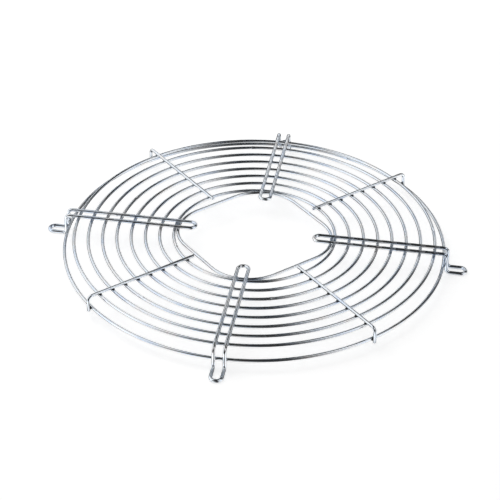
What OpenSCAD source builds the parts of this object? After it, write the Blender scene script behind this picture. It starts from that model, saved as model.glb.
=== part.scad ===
// Wire fan guard for the inlet or outlet side of an axial fan.
// Eight round rings and one rounded square centre wire lie side by side in a flat face.
// Four single spokes and four double wire arms lie across the face and are welded to it
// at every crossing. Outside the face both bend down along a larger rim ring, which is
// welded to the inner side of each drop. Every arm is one closed loop of wire, and its
// foot turns outwards again and ends in an open eye for a mounting screw.
// Millimetres. The feet stand on z = 0, z is the fan's axis, and the arms lie along x and y.

/* [Wire] */
// Diameter of the wire in the rings, the rim and the centre wire
ring_wire = 3; // [1.6:0.1:4]
// Diameter of the wire in the arms
arm_wire = 3.4; // [2:0.1:5]
// Diameter of the wire in the spokes
spoke_wire = 3; // [2:0.1:5]

/* [Face] */
// Number of round rings in the face
ring_count = 8; // [3:1:9]
// Radius of the largest ring in the face, to the middle of its wire
face_radius = 177.5; // [160:0.5:260]
// Distance from ring to ring, centre to centre
ring_pitch = 14; // [8:0.5:16]
// Height of the face above the mounting plane, to the middle of its wires
face_height = 19.4; // [16:0.1:40]

/* [Centre wire] */
// Corner radius of the centre wire
centre_corner = 43.4; // [12:0.2:50]
// Clearance between the corners of the centre wire and the innermost ring
centre_gap = 0.2; // [0.1:0.1:3]

/* [Rim] */
// Radial step from the largest ring of the face out to the rim
rim_step = 9.7; // [6:0.1:16]
// How far the rim lies below the face, centre to centre
rim_drop = 9.6; // [6:0.1:12]

/* [Arms] */
// Clear width between the two wires of an arm, which is also the width of its screw eye
eye_width = 7; // [5:0.1:12]
// Clear length of the screw eye, from the drop out to the end of the loop
eye_length = 15.4; // [12:0.1:40]
// How far the inner end of an arm reaches past the corner of the centre wire
arm_overhang = 17; // [8:0.5:30]
// Inside radius of the bends at the top and the foot of an arm
arm_bend = 2.5; // [1:0.1:4]

/* [Spokes] */
// How far the inner end of a spoke reaches past the innermost ring
spoke_overhang = 7.5; // [2:0.5:12]
// How far the outer end of a spoke reaches below the middle of the rim
spoke_tail = 3.5; // [2:0.1:6]
// Inside radius of the bend at the outer end of a spoke
spoke_bend = 3.5; // [1:0.1:5]

/* [Hidden] */
// Segments round a wire, and round a full turn of a bend and of a ring
wire_fn = 24;
bend_fn = 64;
ring_fn = 180;

// Face: the rings step inwards from the largest one.
inner_radius = face_radius - (ring_count - 1) * ring_pitch;

// Centre wire: its corners point along the arms and its sides face the spokes. The corner
// centres stand at equal whole hundredths from both axes of the square, rounded towards
// the middle, so that bends and sides meet face to face and keep their clearance.
corner_reach = inner_radius - ring_wire - centre_gap;
corner_radius = min(centre_corner, 0.9 * corner_reach);
corner_centre = floor(100 * (corner_reach - corner_radius) / sqrt(2)) / 100;

// Rim: it touches the inner side of every drop.
rim_radius = face_radius + rim_step;
rim_height = face_height - rim_drop;

// Arms: the straight wires rest on the face. Both drops stand off the middle of the arm
// and touch the rim there, in whole hundredths so that the pieces of wire meet face to face.
arm_spacing = eye_width + arm_wire;
arm_top = face_height + (ring_wire + arm_wire) / 2;
arm_drop = ceil(100 * sqrt((rim_radius + (ring_wire + arm_wire) / 2) ^ 2 - (arm_spacing / 2) ^ 2)) / 100;
arm_inner = corner_reach - arm_overhang;
arm_foot = arm_wire / 2;
arm_outer = arm_drop + arm_wire + eye_length;
arm_bend_mid = arm_bend + arm_wire / 2;

// Spokes: single wires which also rest on the face.
spoke_top = face_height + (ring_wire + spoke_wire) / 2;
spoke_drop = rim_radius + (ring_wire + spoke_wire) / 2;
spoke_inner = inner_radius - spoke_overhang;
spoke_end = rim_height - spoke_tail;
spoke_bend_mid = spoke_bend + spoke_wire / 2;

WIRE = [0.78, 0.79, 0.81];
RINGS = [for (n = [1:ring_count]) str("guard_ring_", n)];
ARMS = ["arm_right", "arm_back", "arm_left", "arm_front"];
SPOKES = ["spoke_back_right", "spoke_back_left", "spoke_front_left", "spoke_front_right"];

// One full ring of wire, centred on z = 0.
module round_ring(radius, wire) {
  rotate_extrude($fn = ring_fn) translate([radius, 0]) circle(d = wire, $fn = wire_fn);
}

// Straight wire along x, from one x to another.
module along_x(from, to, wire) {
  translate([from, 0, 0]) rotate([0, 90, 0]) cylinder(h = to - from, d = wire, $fn = wire_fn);
}

// Straight wire along z, from one z up to another.
module along_z(from, to, wire) {
  translate([0, 0, from]) cylinder(h = to - from, d = wire, $fn = wire_fn);
}

// Bend of wire about z, from the direction of x through the given angle.
module flat_bend(radius, angle, wire) {
  rotate_extrude(angle = angle, $fn = bend_fn)
    translate([radius, 0]) circle(d = wire, $fn = wire_fn);
}

// Quarter bend in the plane of x and z, which joins +x and +z about its own centre.
module upright_bend(radius, wire) {
  rotate([90, 0, 0]) flat_bend(radius, 90, wire);
}

// Half loop which closes two wires of an arm, open towards -x.
module loop_end(wire) {
  rotate([0, 0, -90]) flat_bend(arm_spacing / 2, 180, wire);
}

// n = 1 is the largest ring of the face.
module guard_ring(n) {
  color(WIRE) translate([0, 0, face_height])
    round_ring(face_radius - (n - 1) * ring_pitch, ring_wire);
}

// Rounded square of wire round the central opening, turned so that its corners meet the arms.
module centre_wire() {
  color(WIRE) translate([0, 0, face_height]) rotate([0, 0, 45])
    for (turn = [0:90:270]) rotate([0, 0, turn]) {
      translate([corner_centre, corner_centre, 0]) flat_bend(corner_radius, 90, ring_wire);
      translate([0, -corner_centre - corner_radius, 0])
        along_x(-corner_centre, corner_centre, ring_wire);
    }
}

// Larger ring below the face, which the drops of the arms and spokes are welded to.
module rim_ring() {
  color(WIRE) translate([0, 0, rim_height]) round_ring(rim_radius, ring_wire);
}

// One of the two wires of an arm, between its loop ends.
module arm_side() {
  translate([0, 0, arm_top]) along_x(arm_inner + arm_spacing / 2, arm_drop - arm_bend_mid, arm_wire);
  translate([arm_drop - arm_bend_mid, 0, arm_top - arm_bend_mid]) upright_bend(arm_bend_mid, arm_wire);
  translate([arm_drop, 0, 0]) along_z(arm_foot + arm_bend_mid, arm_top - arm_bend_mid, arm_wire);
  translate([arm_drop + arm_bend_mid, 0, arm_foot + arm_bend_mid])
    rotate([0, 180, 0]) upright_bend(arm_bend_mid, arm_wire);
  translate([0, 0, arm_foot])
    along_x(arm_drop + arm_bend_mid, arm_outer - arm_spacing / 2, arm_wire);
}

// Closed loop of wire: inner end, two sides with their drops and feet, and the screw eye.
module arm(turn) {
  color(WIRE) rotate([0, 0, turn]) {
    for (side = [-1, 1]) translate([0, side * arm_spacing / 2, 0]) arm_side();
    translate([arm_inner + arm_spacing / 2, 0, arm_top]) rotate([0, 0, 180]) loop_end(arm_wire);
    translate([arm_outer - arm_spacing / 2, 0, arm_foot]) loop_end(arm_wire);
  }
}

// Single wire across the face, bent down outside the rim and cut off below it.
module spoke(turn) {
  color(WIRE) rotate([0, 0, turn]) {
    translate([0, 0, spoke_top]) along_x(spoke_inner, spoke_drop - spoke_bend_mid, spoke_wire);
    translate([spoke_drop - spoke_bend_mid, 0, spoke_top - spoke_bend_mid])
      upright_bend(spoke_bend_mid, spoke_wire);
    translate([spoke_drop, 0, 0]) along_z(spoke_end, spoke_top - spoke_bend_mid, spoke_wire);
  }
}

for (n = [1:ring_count]) guard_ring(n);
centre_wire();
rim_ring();
for (i = [0:3]) arm(90 * i);
for (i = [0:3]) spoke(90 * i + 45);
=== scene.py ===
# Wire fan guard: plated steel wires, bent, welded to each other and laid on a pale floor.
# Everything is in metres, in the frame of the solid model: feet on z = 0, arms along x and y.
from math import cos, pi, radians, sin, sqrt

import bpy
import numpy as np
from mathutils import Matrix, Vector


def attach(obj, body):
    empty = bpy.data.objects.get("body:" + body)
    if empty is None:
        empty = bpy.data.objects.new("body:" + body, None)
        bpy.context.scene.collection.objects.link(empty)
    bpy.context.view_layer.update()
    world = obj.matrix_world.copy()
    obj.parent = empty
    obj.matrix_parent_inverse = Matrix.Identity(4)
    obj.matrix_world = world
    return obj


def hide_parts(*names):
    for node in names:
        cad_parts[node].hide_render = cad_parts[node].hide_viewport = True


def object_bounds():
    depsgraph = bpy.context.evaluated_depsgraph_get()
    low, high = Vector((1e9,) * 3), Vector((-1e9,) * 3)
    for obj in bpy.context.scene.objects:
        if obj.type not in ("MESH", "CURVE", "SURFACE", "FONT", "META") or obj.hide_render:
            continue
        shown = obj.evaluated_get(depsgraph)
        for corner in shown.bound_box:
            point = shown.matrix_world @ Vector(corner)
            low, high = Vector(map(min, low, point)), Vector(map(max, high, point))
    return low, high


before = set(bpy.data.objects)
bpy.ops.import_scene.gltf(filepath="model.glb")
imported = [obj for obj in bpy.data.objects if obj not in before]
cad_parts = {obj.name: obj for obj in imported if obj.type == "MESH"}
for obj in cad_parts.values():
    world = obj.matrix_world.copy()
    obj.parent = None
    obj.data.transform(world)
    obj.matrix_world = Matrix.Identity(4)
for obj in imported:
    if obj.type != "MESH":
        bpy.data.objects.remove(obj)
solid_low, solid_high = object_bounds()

bpy.context.scene.view_settings.view_transform = "Standard"

# --------------------------------------------------------------------------------------------
# Guard rings. Eight rings of drawn steel wire lie side by side in one flat face. Each is
# coiled from straight wire, cut, and closed by a butt weld that leaves a slight swelling,
# and the finished guard is plated bright, so that every wire mirrors what is round it.

ring_wire = 0.0030
arm_wire = 0.0034
ring_count = 8
ring_pitch = 0.014
face_radius = 0.1775
# The arms lie on the face, and their upper side is the top of the guard.
arm_top = solid_high.z - arm_wire / 2
face_height = arm_top - (ring_wire + arm_wire) / 2

wire_sides = 16
ring_steps = 216
# Butt weld of a ring: how thick each of its sections is, as a share of the wire, how far
# apart they are, and where the joint of each ring lies round the guard.
weld_sections = (1.06, 1.12, 1.06, 1.0)
weld_step = 0.0007
joint_angles = [radians(a) for a in (12, 101, 236, 163, 312, -71.8, 29, 207)]

plating_white = (0.785, 0.83, 0.88, 1)
plating_blue = (0.67, 0.75, 0.87, 1)
plating_warm = (0.81, 0.80, 0.80, 1)
# Least and most roughness of the plating, and the depth of its lines and unevenness.
ring_roughness = (0.09, 0.15)
ring_relief = 0.000004
# Patterns of the plating, each in turns of its noise to the metre: clouds of colour, duller
# patches, the unevenness left by the bath, and the lines of the die round and along the wire.
cloud_scale = 45.0
patch_scale = 130.0
swell_scale = 420.0
line_scale = 5000.0
line_stretch = (1.0, 1.0, 0.01)
# Edges sharper than this stay sharp, and points nearer than this are one.
smooth_angle = radians(50)
merge_distance = ring_wire / 1000


def add_node(tree, kind, inputs=(), **settings):
    """Adds a node, sets its properties, and links or fills its inputs by name or number."""
    made = tree.nodes.new(kind)
    for key, value in settings.items():
        setattr(made, key, value)
    for key, value in dict(inputs).items():
        if isinstance(value, bpy.types.NodeSocket):
            tree.links.new(value, made.inputs[key])
        else:
            made.inputs[key].default_value = value
    return made


def new_group(name, inputs, outputs):
    """Starts a node group with named inputs and outputs, and returns it with its input node."""
    tree = bpy.data.node_groups.new(name, "ShaderNodeTree")
    for way, sockets in (("INPUT", inputs), ("OUTPUT", outputs)):
        for label, kind in sockets.items():
            tree.interface.new_socket(name=label, in_out=way, socket_type="NodeSocket" + kind)
    return tree, add_node(tree, "NodeGroupInput")


def mix_colours(tree, share, first, second):
    """Mixes two colours and returns the result."""
    made = add_node(tree, "ShaderNodeMix", {0: share, 6: first, 7: second}, data_type="RGBA")
    return made.outputs[2]


def make_plating_tint():
    """Thin bright plating changes colour a little from place to place, towards blue or warm."""
    tree, given = new_group("plating_tint",
                            {"Place": "Vector", "White": "Color", "Blue": "Color", "Warm": "Color"},
                            {"Color": "Color"})
    place = given.outputs["Place"]
    cloud = add_node(tree, "ShaderNodeTexNoise",
                     {"Vector": place, "Scale": cloud_scale, "Detail": 2.0}).outputs["Fac"]
    # The strongest clouds turn blue, the weakest warm, and those between stay white.
    blue = add_node(tree, "ShaderNodeMapRange", {0: cloud, 1: 0.50, 2: 0.68}).outputs[0]
    warm = add_node(tree, "ShaderNodeMapRange", {0: cloud, 1: 0.46, 2: 0.30}).outputs[0]
    cooled = mix_colours(tree, blue, given.outputs["White"], given.outputs["Blue"])
    result = mix_colours(tree, warm, cooled, given.outputs["Warm"])
    add_node(tree, "NodeGroupOutput", {"Color": result})
    return tree


def make_drawn_lines():
    """The die leaves fine lines along the wire, and the plating bath a soft unevenness."""
    tree, given = new_group("drawn_lines",
                            {"Grain": "Vector", "Place": "Vector", "Smooth": "Float", "Rough": "Float"},
                            {"Height": "Float", "Roughness": "Float"})
    place = given.outputs["Place"]
    along = add_node(tree, "ShaderNodeMapping", {"Vector": given.outputs["Grain"], "Scale": line_stretch})
    lines = add_node(tree, "ShaderNodeTexNoise",
                     {"Vector": along.outputs[0], "Scale": line_scale, "Detail": 1.0}).outputs["Fac"]
    swell = add_node(tree, "ShaderNodeTexNoise",
                     {"Vector": place, "Scale": swell_scale, "Detail": 1.0}).outputs["Fac"]
    # The unevenness is twice as deep as the lines.
    height = add_node(tree, "ShaderNodeMath", {0: swell, 1: 2.0, 2: lines}, operation="MULTIPLY_ADD")
    patch = add_node(tree, "ShaderNodeTexNoise",
                     {"Vector": place, "Scale": patch_scale, "Detail": 3.0}).outputs["Fac"]
    rough = add_node(tree, "ShaderNodeMapRange",
                     {0: patch, 1: 0.35, 2: 0.70, 3: given.outputs["Smooth"], 4: given.outputs["Rough"]})
    add_node(tree, "NodeGroupOutput", {"Height": height.outputs[0], "Roughness": rough.outputs[0]})
    return tree


plating_tint = make_plating_tint()
drawn_lines = make_drawn_lines()


def plated_steel(name, roughness, relief, lightness=1.0):
    """Plating over steel wire. Its lightness is a share of that of clean plating."""
    material = bpy.data.materials.new(name)
    material.use_nodes = True
    tree = material.node_tree
    surface = tree.nodes["Principled BSDF"]
    surface.inputs["Metallic"].default_value = 1.0
    place = add_node(tree, "ShaderNodeTexCoord").outputs["Object"]
    grain = add_node(tree, "ShaderNodeAttribute", attribute_name="grain").outputs["Vector"]
    tint = add_node(tree, "ShaderNodeGroup", node_tree=plating_tint)
    for label, colour in (("White", plating_white), ("Blue", plating_blue), ("Warm", plating_warm)):
        tint.inputs[label].default_value = [c * lightness for c in colour[:3]] + [1]
    lines = add_node(tree, "ShaderNodeGroup", node_tree=drawn_lines)
    lines.inputs["Smooth"].default_value, lines.inputs["Rough"].default_value = roughness
    bump = add_node(tree, "ShaderNodeBump", {"Strength": 1.0, "Distance": relief})
    for start, end in ((place, tint.inputs["Place"]),
                       (place, lines.inputs["Place"]),
                       (grain, lines.inputs["Grain"]),
                       (tint.outputs["Color"], surface.inputs["Base Color"]),
                       (lines.outputs["Roughness"], surface.inputs["Roughness"]),
                       (lines.outputs["Height"], bump.inputs["Height"]),
                       (bump.outputs["Normal"], surface.inputs["Normal"])):
        tree.links.new(start, end)
    return material


def start_wire(place, heading, diameter):
    """Puts down the first section of a wire, square to the way it heads, ready to be drawn on."""
    bpy.ops.object.select_all(action="DESELECT")
    bpy.ops.mesh.primitive_circle_add(vertices=wire_sides, radius=diameter / 2, location=place,
                                      rotation=Vector(heading).to_track_quat("Z", "Y").to_euler())
    bpy.ops.object.transform_apply(location=True, rotation=True, scale=True)
    bpy.ops.object.mode_set(mode="EDIT")
    bpy.ops.mesh.select_all(action="SELECT")


def bend_round(centre, axis, angle, steps):
    """Draws the wire on round a centre, by the right-hand rule about the axis."""
    # The spin tool counts its angle the other way.
    bpy.ops.mesh.spin(steps=steps, angle=-angle, center=centre, axis=axis)


def resize_section(centre, share):
    """Makes the last section of the wire thicker or thinner about its own centre."""
    bpy.ops.transform.resize(value=(share, share, share), center_override=centre)


def lay_grain(wire):
    """Stores on each point where it would be if the wire were straight, for the lines along it."""
    points = np.empty(len(wire.vertices) * 3)
    wire.vertices.foreach_get("co", points)
    sections = points.reshape(-1, wire_sides, 3)
    middles = sections.mean(axis=1)
    steps = np.linalg.norm(np.diff(middles, axis=0), axis=1)
    length = np.concatenate(([0.0], np.cumsum(steps)))
    radius = np.linalg.norm(sections - middles[:, None], axis=2)
    turn = np.arange(wire_sides) * 2 * pi / wire_sides
    grain = np.stack([radius * np.cos(turn), radius * np.sin(turn),
                      np.broadcast_to(length[:, None], radius.shape)], axis=2)
    wire.attributes.new("grain", "FLOAT_VECTOR", "POINT").data.foreach_set("vector", grain.ravel())


def stand_for(piece, solid):
    """Puts a finished wire in place of its solid."""
    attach(piece, "root")
    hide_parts(solid)


def finish_wire(name, solid, material):
    """Joins the ends of a closed wire, turns its faces outwards and puts it in its place."""
    bpy.ops.object.mode_set(mode="OBJECT")
    wire = bpy.context.object
    lay_grain(wire.data)
    bpy.ops.object.mode_set(mode="EDIT")
    bpy.ops.mesh.select_all(action="SELECT")
    bpy.ops.mesh.remove_doubles(threshold=merge_distance)
    bpy.ops.mesh.normals_make_consistent(inside=False)
    bpy.ops.object.mode_set(mode="OBJECT")
    bpy.ops.object.shade_smooth_by_angle(angle=smooth_angle)
    wire.name = wire.data.name = name
    wire.data.materials.append(material)
    stand_for(wire, solid)
    return wire


def coil_ring(radius, height, joint):
    """One ring of wire, from one side of its butt weld round to the other and through the weld."""
    def section(angle):
        return Vector((radius * cos(angle), radius * sin(angle), height))

    axis = Vector((0, 0, 1))
    middle = Vector((0, 0, height))
    small_turn = weld_step / radius
    start_wire(section(joint), axis.cross(section(joint)), ring_wire)
    bend_round(middle, axis, 2 * pi - len(weld_sections) * small_turn, ring_steps)
    angle = joint - len(weld_sections) * small_turn
    last = 1.0
    for share in weld_sections:
        angle += small_turn
        bend_round(middle, axis, small_turn, 1)
        resize_section(section(angle), share / last)
        last = share


ring_finish = plated_steel("plated_ring_wire", ring_roughness, ring_relief)
for n in range(ring_count):
    coil_ring(face_radius - n * ring_pitch, face_height, joint_angles[n])
    finish_wire(f"ring_{n + 1}", f"guard_ring_{n + 1}", ring_finish)

# --------------------------------------------------------------------------------------------
# Centre wire. A rounded square of the same wire lies in the face round the central opening,
# with its four corners under the arms and close inside the smallest ring. It is bent on a
# former and butt welded in the middle of one side.

corner_radius = 0.0434
corner_steps = 28
centre_gap = 0.0002

smallest_radius = face_radius - (ring_count - 1) * ring_pitch
corner_reach = smallest_radius - ring_wire - centre_gap
# Each corner is bent round a point this far from the fan's axis along both sides.
corner_middle = round((corner_reach - corner_radius) / sqrt(2), 5)
up = Vector((0, 0, 1))


def run_straight(way):
    """Draws the wire on in a straight line, by the given vector."""
    bpy.ops.mesh.extrude_edges_move(TRANSFORM_OT_translate={"value": way})


def pass_weld(heading, place):
    """Draws a straight wire on through its butt weld, which swells about a line through the place."""
    last = 1.0
    for share in weld_sections:
        place = place + heading * weld_step
        run_straight(heading * weld_step)
        resize_section(place, share / last)
        last = share


def bend_centre_wire():
    """Starts beside the joint in the middle of a side and goes once round."""
    quarter = Matrix.Rotation(pi / 2, 3, "Z")
    # Turned by an eighth, the square's sides face the spokes.
    across = Matrix.Rotation(pi / 4, 3, "Z") @ Vector((1, 0, 0))
    heading = quarter @ across
    joint = across * (corner_middle + corner_radius) + up * face_height
    start_wire(joint, heading, ring_wire)
    run_straight(heading * corner_middle)
    for side in range(4):
        corner = (across + heading) * corner_middle + up * face_height
        bend_round(corner, up, pi / 2, corner_steps)
        across, heading = heading, quarter @ heading
        if side < 3:
            run_straight(heading * corner_middle * 2)
    weld_length = len(weld_sections) * weld_step
    run_straight(heading * (corner_middle - weld_length))
    pass_weld(heading, joint - heading * weld_length)


bend_centre_wire()
finish_wire("centre_square", "centre_wire", ring_finish)

# --------------------------------------------------------------------------------------------
# Rim ring. One larger ring of the same wire stands below the face and stiffens the edge of
# the guard. The arms and spokes are welded to its outer side where they bend down.

rim_radius = face_radius + 0.0097
rim_height = face_height - 0.0096
rim_joint = radians(68)

coil_ring(rim_radius, rim_height, rim_joint)
finish_wire("rim", "rim_ring", ring_finish)

# --------------------------------------------------------------------------------------------
# Arms. Four closed loops of slightly thicker wire carry the guard. Each is two parallel wires
# welded across the rings, bent down outside the rim and outwards again, where the end of the
# loop forms an open eye for a screw. The butt weld of the loop is on one long side.

eye_width = 0.0070
arm_overhang = 0.017
arm_bend = 0.0025 + arm_wire / 2
loop_steps = 20
bend_steps = 9
arm_names = ("right", "back", "left", "front")
arm_roughness = (0.10, 0.17)
arm_relief = 0.000005

arm_spacing = eye_width + arm_wire
loop_radius = arm_spacing / 2
arm_inner = corner_reach - arm_overhang
arm_outer = solid_high.x - arm_wire / 2
arm_foot = solid_low.z + arm_wire / 2
rim_contact = rim_radius + (ring_wire + arm_wire) / 2
arm_drop = sqrt(rim_contact ** 2 - loop_radius ** 2)
# The weld of the loop lies between two rings, this far out.
arm_joint = 0.142


def bend_arm():
    """Bends the arm that lies along +x, once round from its butt weld by way of the screw eye."""
    out, inwards, down = Vector((1, 0, 0)), Vector((-1, 0, 0)), Vector((0, 0, -1))
    side = Vector((0, 1, 0))
    near = side * -loop_radius
    far = side * loop_radius
    first_bend = arm_drop - arm_bend
    second_bend = arm_drop + arm_bend
    straight_drop = arm_top - arm_foot - 2 * arm_bend
    eye_end = arm_outer - loop_radius
    inner_end = arm_inner + loop_radius

    start_wire(near + out * arm_joint + up * arm_top, out, arm_wire)
    run_straight(out * (first_bend - arm_joint))
    bend_round(near + out * first_bend + up * (arm_top - arm_bend), side, pi / 2, bend_steps)
    run_straight(down * straight_drop)
    bend_round(near + out * second_bend + up * (arm_foot + arm_bend), side, -pi / 2, bend_steps)
    run_straight(out * (eye_end - second_bend))
    bend_round(out * eye_end + up * arm_foot, up, pi, loop_steps)
    run_straight(inwards * (eye_end - second_bend))
    bend_round(far + out * second_bend + up * (arm_foot + arm_bend), side, pi / 2, bend_steps)
    run_straight(up * straight_drop)
    bend_round(far + out * first_bend + up * (arm_top - arm_bend), side, -pi / 2, bend_steps)
    run_straight(inwards * (first_bend - inner_end))
    bend_round(out * inner_end + up * arm_top, up, pi, loop_steps)
    weld_length = len(weld_sections) * weld_step
    run_straight(out * (arm_joint - inner_end - weld_length))
    # The weld swells downwards and sideways, and stays level with the wire on top.
    pass_weld(out, near + out * (arm_joint - weld_length) + up * (arm_top + arm_wire / 2))


def copy_turned(piece, name, solid, turn):
    """Puts a copy with its own mesh, turned about the fan's axis, in place of another solid."""
    twin = piece.copy()
    twin.data = piece.data.copy()
    twin.name = twin.data.name = name
    twin.data.transform(Matrix.Rotation(turn, 4, "Z"))
    bpy.context.scene.collection.objects.link(twin)
    stand_for(twin, solid)


arm_finish = plated_steel("plated_arm_wire", arm_roughness, arm_relief)
bend_arm()
right_arm = finish_wire("arm_loop_right", "arm_right", arm_finish)
for n, name in enumerate(arm_names[1:], start=1):
    copy_turned(right_arm, f"arm_loop_{name}", f"arm_{name}", n * pi / 2)

# --------------------------------------------------------------------------------------------
# Spokes. Halfway between the arms a single wire is welded across the rings and bent down
# outside the rim. Both of its ends are sheared off, which rounds their edges a little.

spoke_wire = 0.0030
spoke_overhang = 0.0075
spoke_tail = 0.0035
spoke_bend = 0.0035 + spoke_wire / 2
# Edge of a sheared end: how far each section is from the cut, and its share of the thickness.
sheared_edge = ((0.0, 0.80), (0.00012, 0.92), (0.00035, 1.0))
spoke_names = ("back_right", "back_left", "front_left", "front_right")

spoke_top = face_height + (ring_wire + spoke_wire) / 2
spoke_drop = rim_radius + (ring_wire + spoke_wire) / 2
spoke_inner = smallest_radius - spoke_overhang
spoke_end = rim_height - spoke_tail


def bend_spoke(turn):
    """Draws a spoke along +x, from its inner cut end to its outer one, and turns it to its place."""
    out, down, side = Vector((1, 0, 0)), Vector((0, 0, -1)), Vector((0, 1, 0))
    bend_start = spoke_drop - spoke_bend
    inner = Vector((spoke_inner, 0, spoke_top))
    outer = Vector((spoke_drop, 0, spoke_end))
    edge = sheared_edge[-1][0]

    start_wire(inner, out, spoke_wire * sheared_edge[0][1])
    bpy.ops.mesh.edge_face_add()
    for (near, last), (far, share) in zip(sheared_edge, sheared_edge[1:]):
        run_straight(out * (far - near))
        resize_section(inner + out * far, share / last)
    run_straight(out * (bend_start - spoke_inner - edge))
    bend_round(Vector((bend_start, 0, spoke_top - spoke_bend)), side, pi / 2, bend_steps)
    run_straight(down * (spoke_top - spoke_bend - spoke_end - edge))
    for (near, last), (far, share) in zip(sheared_edge[::-1], sheared_edge[-2::-1]):
        run_straight(down * (near - far))
        resize_section(outer - down * far, share / last)
    bpy.ops.mesh.edge_face_add()
    bpy.ops.object.mode_set(mode="OBJECT")
    bpy.context.object.data.transform(Matrix.Rotation(turn, 4, "Z"))


spoke_finish = plated_steel("plated_spoke_wire", arm_roughness, arm_relief)
bend_spoke(pi / 4)
first_spoke = finish_wire("spoke_rod_back_right", "spoke_back_right", spoke_finish)
for n, name in enumerate(spoke_names[1:], start=1):
    copy_turned(first_spoke, f"spoke_rod_{name}", f"spoke_{name}", n * pi / 2)

# --------------------------------------------------------------------------------------------
# Welds. Where two wires cross they are spot welded, and a little metal is squeezed out between
# them into a flat nugget. The nuggets are coloured darker than the plating, as painted shade of
# the crevice between the wires. On three of the spokes they are large and nearly black, all
# painted shade. The others are small and grey, weld metal darkened with painted shade, and
# beside each ring the arms are a little dull.

# A nugget's size along the wire, across it and upwards, on the face and on the rim.
face_nugget = (0.0028, 0.0044, 0.0022)
rim_nugget = (0.0022, 0.0044, 0.0028)
# The nearly black nuggets of painted shade are made this much larger, to cover more of the crevice.
dark_nugget_share = 1.3
nugget_sides = 10
nugget_bands = 6
# Lightness of the nuggets beside clean plating. The grey is weld metal darkened with painted shade of the
# crevice between the wires.
grey_and_shade_lightness = 0.506
# Nearly black is painted shade of the crevice between crossing wires.
painted_shade_lightness = 0.0723
weld_roughness = (0.30, 0.45)
weld_relief = 0.000020
# Dull plating beside a ring: how far out its middle lies, its half length and its roughness.
dull_offset = 0.0025
dull_reach = 0.0036
dull_roughness = 0.32

# The wires touch at the top of the rings and on the outside of the rim.
weld_level = face_height + ring_wire / 2
weld_reach = rim_radius + ring_wire / 2


def find_crossings(offset):
    """Where a wire that runs outwards, that far to one side, meets the rings and the rim."""
    radii = [face_radius - n * ring_pitch for n in range(ring_count)]
    found = [(Vector((sqrt(r * r - offset * offset), offset, weld_level)), face_nugget) for r in radii]
    contact = Vector((sqrt(rim_contact ** 2 - offset * offset), offset, 0)) * (weld_reach / rim_contact)
    return found + [(contact + up * rim_height, rim_nugget)]


def find_corner(offset):
    """Where a wire that runs outwards, that far to one side, meets a corner of the centre wire."""
    reach = corner_middle * sqrt(2) + sqrt(corner_radius ** 2 - offset * offset)
    return [(Vector((reach, offset, weld_level)), face_nugget)]


def squeeze_nuggets(name, crossings, share, turn, material):
    """Presses a nugget at each crossing of an arm or spoke along +x, and turns them to their place."""
    bpy.ops.object.select_all(action="DESELECT")
    nuggets = []
    for place, size in crossings:
        bpy.ops.mesh.primitive_uv_sphere_add(segments=nugget_sides, ring_count=nugget_bands,
                                             radius=share / 2, location=place)
        bpy.ops.transform.resize(value=size, center_override=place)
        nuggets.append(bpy.context.object)
    for nugget in nuggets:
        nugget.select_set(True)
    bpy.ops.object.join()
    bpy.ops.object.transform_apply(location=True, rotation=True, scale=True)
    bpy.ops.object.shade_smooth()
    welds = bpy.context.object
    welds.name = welds.data.name = name
    welds.data.transform(Matrix.Rotation(turn, 4, "Z"))
    welds.data.materials.append(material)
    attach(welds, "root")


def dull_crossings(material):
    """The heat of the welds leaves the plating dull just outside each ring that is crossed."""
    tree = material.node_tree
    surface = tree.nodes["Principled BSDF"]
    polished = surface.inputs["Roughness"].links[0].from_socket
    # How far a point lies from the fan's axis, past the middle of the first dull stretch.
    place = add_node(tree, "ShaderNodeTexCoord").outputs["Object"]
    level = add_node(tree, "ShaderNodeVectorMath", {0: place, 1: (1, 1, 0)}, operation="MULTIPLY")
    reach = add_node(tree, "ShaderNodeVectorMath", {0: level.outputs[0]}, operation="LENGTH")
    first = smallest_radius + dull_offset
    past = add_node(tree, "ShaderNodeMath", {0: reach.outputs["Value"], 1: first}, operation="SUBTRACT")
    # The stretches repeat from ring to ring, and end with the smallest and the largest ring.
    away = add_node(tree, "ShaderNodeMath", {0: past.outputs[0], 1: ring_pitch / 2}, operation="PINGPONG")
    dull = add_node(tree, "ShaderNodeMapRange",
                    {0: away.outputs[0], 1: dull_reach, 2: dull_reach / 2, 3: 0.0, 4: 1.0},
                    interpolation_type="SMOOTHSTEP")
    half_span = (ring_count - 1) * ring_pitch / 2
    welded = add_node(tree, "ShaderNodeMath",
                      {0: past.outputs[0], 1: half_span, 2: half_span + dull_reach}, operation="COMPARE")
    share = add_node(tree, "ShaderNodeMath", {0: dull.outputs[0], 1: welded.outputs[0]},
                     operation="MULTIPLY")
    mixed = add_node(tree, "ShaderNodeMix", {0: share.outputs[0], 2: polished, 3: dull_roughness},
                     data_type="FLOAT")
    tree.links.new(mixed.outputs[0], surface.inputs["Roughness"])


dull_crossings(arm_finish)
# Grey weld metal darkened with painted shade, and nearly black painted shade, for the nuggets in the
# crevices.
weld_and_shade_finish = plated_steel("plated_weld_and_shade", weld_roughness, weld_relief, grey_and_shade_lightness)
painted_shade_finish = plated_steel("painted_shade_nugget", weld_roughness, weld_relief, painted_shade_lightness)
arm_crossings = [c for y in (-loop_radius, loop_radius) for c in find_crossings(y) + find_corner(y)]
for n, name in enumerate(arm_names):
    squeeze_nuggets(f"welds_arm_{name}", arm_crossings, 1.0, n * pi / 2, weld_and_shade_finish)
# Three spokes get large nuggets of nearly black painted shade, the back left one small grey ones.
for n, name in enumerate(spoke_names):
    share, finish = (1.0, weld_and_shade_finish) if name == "back_left" else (dark_nugget_share, painted_shade_finish)
    squeeze_nuggets(f"welds_spoke_{name}", find_crossings(0), share, n * pi / 2 + pi / 4, finish)

# --------------------------------------------------------------------------------------------
# Studio. The guard lies on a wide white floor, which takes its shadow. Bright wire shows only
# what is round it, so it stands in a dark room with eight soft windows, the largest high on
# the left, and mirrors these and not the floor.

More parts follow.
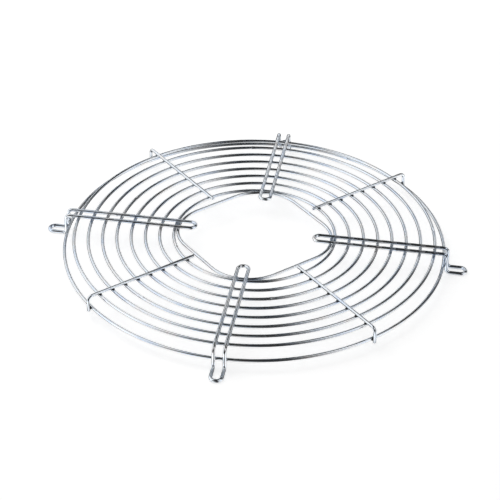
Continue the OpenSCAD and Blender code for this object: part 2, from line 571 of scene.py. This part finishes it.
floor_size = 10
floor_white = (0.80, 0.80, 0.80, 1)
floor_glow = 0.62
room_dark = 0.04
room_diffuse = 0.45
# The camera stands this far round to the right of the front arm.
view_turn = radians(9.3)
# Each window's azimuth from the camera's right hand, its elevation, how far from its middle
# it is full and where it ends, all in degrees, and its strength.
soft_windows = {
    "left_high": (165, 30, 35, 56, 1.3),
    "left_low": (192, -20, 6, 30, 2.0),
    "right_low": (345, -28, 12, 52, 1.9),
    "behind": (95, 26, 8, 12, 2.0),
    "behind_right": (58, 12, 6, 31, 1.0),
    "behind_left_low": (150, -20, 3, 26, 0.8),
    "front_left_low": (228, -46, 8, 43, 2.0),
    "right_high": (335, 45, 5, 33, 1.8),
}
lamp_place = Vector((-0.9, 0.5, 1.3))
lamp_size = 1.2
lamp_power = 7.0

bpy.ops.object.select_all(action="DESELECT")
bpy.ops.mesh.primitive_plane_add(size=floor_size, location=(0, 0, 0))
floor = bpy.context.object
floor.name = floor.data.name = "studio_floor"
floor.visible_glossy = False

floor_paint = bpy.data.materials.new("white_floor")
floor_paint.use_nodes = True
tree = floor_paint.node_tree
tree.nodes.clear()
# The floor glows towards the camera alone, so it looks white there and lights nothing.
path = add_node(tree, "ShaderNodeLightPath")
glow = add_node(tree, "ShaderNodeEmission", {"Color": (1, 1, 1, 1), "Strength": floor_glow})
matt = add_node(tree, "ShaderNodeBsdfDiffuse", {"Color": floor_white})
seen = add_node(tree, "ShaderNodeAddShader", {0: glow.outputs[0], 1: matt.outputs[0]})
shown = add_node(tree, "ShaderNodeMixShader",
                 {0: path.outputs["Is Camera Ray"], 1: matt.outputs[0], 2: seen.outputs[0]})
add_node(tree, "ShaderNodeOutputMaterial", {"Surface": shown.outputs[0]})
floor.data.materials.append(floor_paint)

world = bpy.data.worlds.new("studio_room")
bpy.context.scene.world = world
world.use_nodes = True
tree = world.node_tree
tree.nodes.clear()
sight = add_node(tree, "ShaderNodeTexCoord").outputs["Generated"]
mirrored = room_dark
for azimuth, elevation, full, end, strength in soft_windows.values():
    a, e = radians(azimuth) + view_turn, radians(elevation)
    middle = (cos(a) * cos(e), sin(a) * cos(e), sin(e))
    near = add_node(tree, "ShaderNodeVectorMath", {0: sight, 1: middle}, operation="DOT_PRODUCT")
    away = add_node(tree, "ShaderNodeMath", {0: near.outputs["Value"]}, operation="ARCCOSINE")
    window = add_node(tree, "ShaderNodeMapRange",
                      {0: away.outputs[0], 1: radians(end), 2: radians(full), 3: 0.0, 4: strength},
                      interpolation_type="SMOOTHSTEP")
    mirrored = add_node(tree, "ShaderNodeMath", {0: mirrored, 1: window.outputs[0]}).outputs[0]
# The camera sees plain white, mirrored rays see the windows, and the rest an even soft light.
path = add_node(tree, "ShaderNodeLightPath")
level = add_node(tree, "ShaderNodeMix",
                 {0: path.outputs["Is Glossy Ray"], 2: room_diffuse, 3: mirrored}, data_type="FLOAT")
shown = add_node(tree, "ShaderNodeMix",
                 {0: path.outputs["Is Camera Ray"], 2: level.outputs[0], 3: 1.0}, data_type="FLOAT")
room = add_node(tree, "ShaderNodeBackground", {"Strength": shown.outputs[0]})
add_node(tree, "ShaderNodeOutputWorld", {"Surface": room.outputs[0]})

# One square soft lamp faces the middle of the guard, and throws its shadow to the right.
lamp = bpy.data.lights.new("soft_lamp_left", "AREA")
lamp.energy = lamp_power
lamp.size = lamp_size
holder = bpy.data.objects.new("soft_lamp_left", lamp)
holder.location = lamp_place
holder.rotation_euler = (-lamp_place).to_track_quat("-Z", "Y").to_euler()
holder.visible_glossy = False
bpy.context.scene.collection.objects.link(holder)

# --------------------------------------------------------------------------------------------
# Camera. It stands in front, a little to the right, and looks down on the face of the guard
# at about 34 degrees.

view_height = radians(34.39)
view_roll = radians(0.647)
view_distance = 1.6693

lens = bpy.data.cameras.new("front_camera")
lens.lens = 121.78
lens.sensor_width = 36
lens.shift_x = -0.0090
lens.shift_y = -0.0315
camera = bpy.data.objects.new("front_camera", lens)
bpy.context.scene.collection.objects.link(camera)
outlook = Vector((sin(view_turn) * cos(view_height), -cos(view_turn) * cos(view_height),
                  sin(view_height)))
turn = (Matrix.Rotation(view_turn, 4, "Z") @ Matrix.Rotation(pi / 2 - view_height, 4, "X")
        @ Matrix.Rotation(view_roll, 4, "Z"))
camera.matrix_world = Matrix.Translation(up * face_height + outlook * view_distance) @ turn
bpy.context.scene.camera = camera
